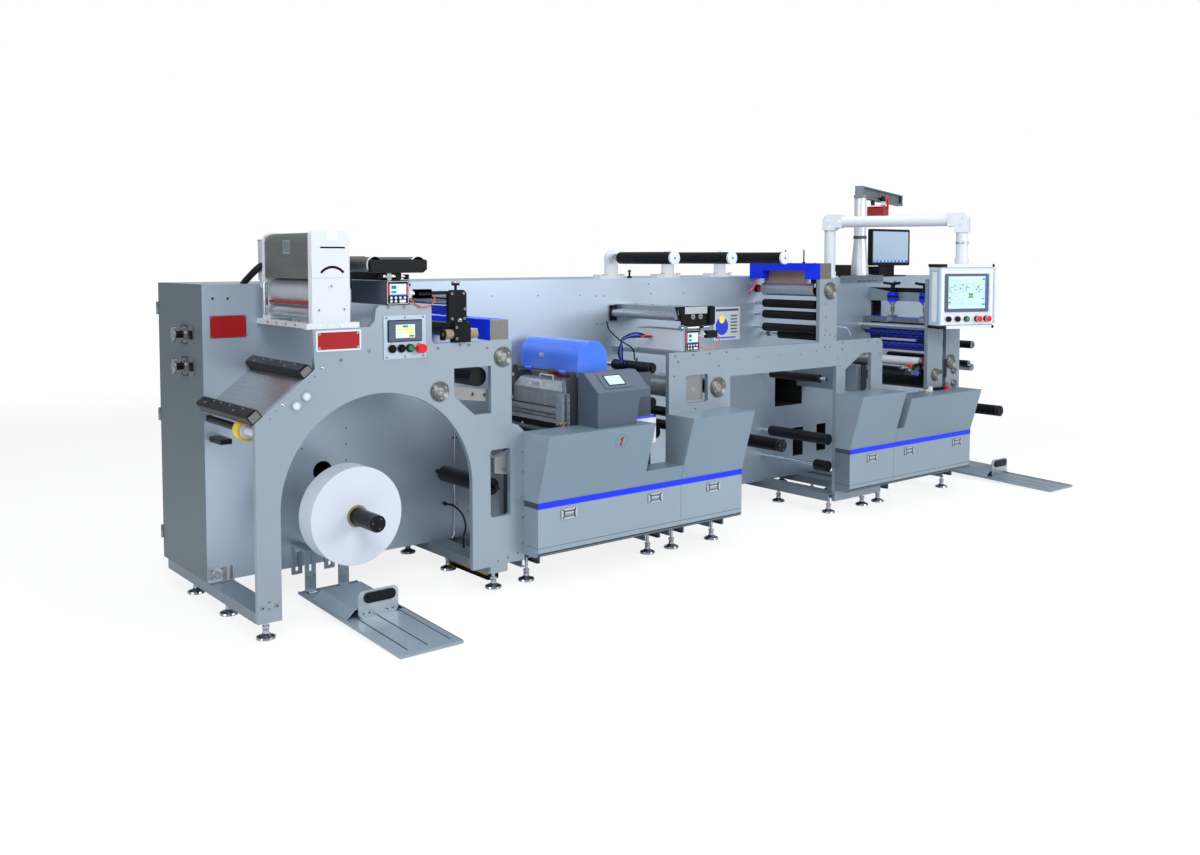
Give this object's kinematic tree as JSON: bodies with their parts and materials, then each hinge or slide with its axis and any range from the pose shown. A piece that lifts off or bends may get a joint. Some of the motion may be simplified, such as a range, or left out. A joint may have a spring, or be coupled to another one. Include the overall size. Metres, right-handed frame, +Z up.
{
  "type": "flexographic printing press",
  "caption": "Narrow-web flexographic press with a rear cabinet, unwind with paper roll, printing, drying and finishing units, rewinds, a swivelling operator pendant and a jib hoist.",
  "frame": {"origin": "centre of the sole of the front levelling foot at the unwind end", "axes": "+X along the machine from the unwind to the rewind, +Y from the operator's side towards the rear cabinet, +Z up"},
  "size_m": [5.9373, 1.7369, 2.048],
  "materials": {
    "panel_grey": "satin",
    "wall_grey": "satin",
    "cover_blue_grey": "satin",
    "plinth_grey": "satin",
    "dark_grey": "satin",
    "blue_paint": "gloss",
    "red_paint": "gloss",
    "white_paint": "satin",
    "stainless": "brushed",
    "chromed": "polished",
    "anodised": "satin",
    "aluminium": "satin",
    "black_plastic": "matte",
    "blue_plastic": "gloss",
    "tape_brown": "gloss",
    "paper_white": "matte",
    "yellow_black": "matte"
  },
  "bodies": {
    "frame": {"cabinet_left": "wall_grey", "cabinet_middle": "wall_grey", "cabinet_right": "wall_grey", "door_hinges": "stainless", "base_beams": "plinth_grey", "levelling_feet": "stainless", "unwind_plate": "panel_grey", "treater_housing": "white_paint", "treater_rollers": "aluminium", "treater_base": "white_paint", "splice_table": "stainless", "tape_dispenser": "tape_brown", "web_cleaner_front": "anodised", "guide_controllers": "white_paint", "control_panel": "stainless", "bearing_caps": "aluminium", "nip_block": "dark_grey", "blue_guide_frames": "blue_paint", "unwind_rollers": "anodised", "reel_hubs": "stainless", "pedal_bar": "yellow_black", "print_unit": "dark_grey", "ink_tray": "stainless", "print_rollers": "chromed", "console": "dark_grey", "upper_covers": "cover_blue_grey", "lower_panels": "plinth_grey", "blue_bands": "blue_paint", "cover_handles": "chromed", "drying_plate": "panel_grey", "cross_bar": "panel_grey", "drying_rollers": "anodised", "web_cleaner_middle": "anodised", "lamp_box": "stainless", "tower_plate": "panel_grey", "tower_rollers": "anodised", "idler_brackets": "white_paint", "finishing_plates": "panel_grey", "finishing_rollers": "chromed", "pendant_post": "white_paint", "hoist_column": "aluminium", "monitor": "black_plastic", "computer_boxes": "black_plastic"},
    "door": {"end_door": "dark_grey"},
    "unwind": {"unwind_reel": "anodised", "paper_roll": "paper_white"},
    "rewind_a": {"rewind_reel_1": "anodised"},
    "rewind_b": {"rewind_reel_2": "anodised"},
    "idler_a": {"idler_1": "anodised"},
    "idler_b": {"idler_2": "anodised"},
    "idler_c": {"idler_3": "anodised"},
    "hood": {"hood": "blue_plastic"},
    "table_a": {"roll_table_1": "dark_grey"},
    "slide_a": {"table_slide_1": "stainless"},
    "table_b": {"roll_table_2": "dark_grey"},
    "slide_b": {"table_slide_2": "stainless"},
    "pendant_arm": {"pendant_arm": "white_paint"},
    "pendant_box": {"pendant_box": "aluminium"},
    "jib": {"jib": "dark_grey"},
    "hoist": {"hoist_trolley": "red_paint"}
  },
  "joints": [
    {"name": "end_door_hinge", "type": "hinge", "parent": "frame", "child": "door", "pos_m": [-0.06, 1.075, 0.7], "axis": [0, 0, 1], "range_deg": [-110, 0]},
    {"name": "unwind_spin", "type": "hinge", "parent": "frame", "child": "unwind", "pos_m": [0.46, 0.29, 0.42], "axis": [0, 1, 0], "continuous": true},
    {"name": "rewind_1_spin", "type": "hinge", "parent": "frame", "child": "rewind_a", "pos_m": [3.0205, 0.29, 0.48], "axis": [0, 1, 0], "continuous": true},
    {"name": "rewind_2_spin", "type": "hinge", "parent": "frame", "child": "rewind_b", "pos_m": [5.29, 0.29, 0.48], "axis": [0, 1, 0], "continuous": true},
    {"name": "idler_1_spin", "type": "hinge", "parent": "frame", "child": "idler_a", "pos_m": [2.245, 0.29, 1.548], "axis": [0, 1, 0], "continuous": true},
    {"name": "idler_2_spin", "type": "hinge", "parent": "frame", "child": "idler_b", "pos_m": [2.677, 0.29, 1.548], "axis": [0, 1, 0], "continuous": true},
    {"name": "idler_3_spin", "type": "hinge", "parent": "frame", "child": "idler_c", "pos_m": [3.109, 0.29, 1.548], "axis": [0, 1, 0], "continuous": true},
    {"name": "hood_hinge", "type": "hinge", "parent": "frame", "child": "hood", "pos_m": [1.561, 0.19, 0.985], "axis": [0, 1, 0], "range_deg": [-95, 0]},
    {"name": "table_1_lift", "type": "slide", "parent": "frame", "child": "table_a", "axis": [0, 0, 1], "range_m": [0, 0.09]},
    {"name": "table_1_slide", "type": "slide", "parent": "table_a", "child": "slide_a", "axis": [0, 0.9993, 0.0364], "range_m": [-0.4, 0.1]},
    {"name": "table_2_lift", "type": "slide", "parent": "frame", "child": "table_b", "axis": [0, 0, 1], "range_m": [0, 0.09]},
    {"name": "table_2_slide", "type": "slide", "parent": "table_b", "child": "slide_b", "axis": [0, 0.9993, 0.0364], "range_m": [-0.4, 0.1]},
    {"name": "pendant_arm_swivel", "type": "hinge", "parent": "frame", "child": "pendant_arm", "pos_m": [4.23, 0.56, 1.75], "axis": [0, 0, 1], "range_deg": [-40, 2]},
    {"name": "pendant_box_swivel", "type": "hinge", "parent": "pendant_arm", "child": "pendant_box", "pos_m": [4.577, -0.2289, 1.63], "axis": [0, 0, 1], "range_deg": [-3, 42]},
    {"name": "jib_swivel", "type": "hinge", "parent": "frame", "child": "jib", "pos_m": [4.592, 0.59, 1.98], "axis": [0, 0, 1], "range_deg": [-170, 170]},
    {"name": "hoist_travel", "type": "slide", "parent": "jib", "child": "hoist", "axis": [0.91, 0.4147, 0], "range_m": [-0.4, 0.6]}
  ]
}
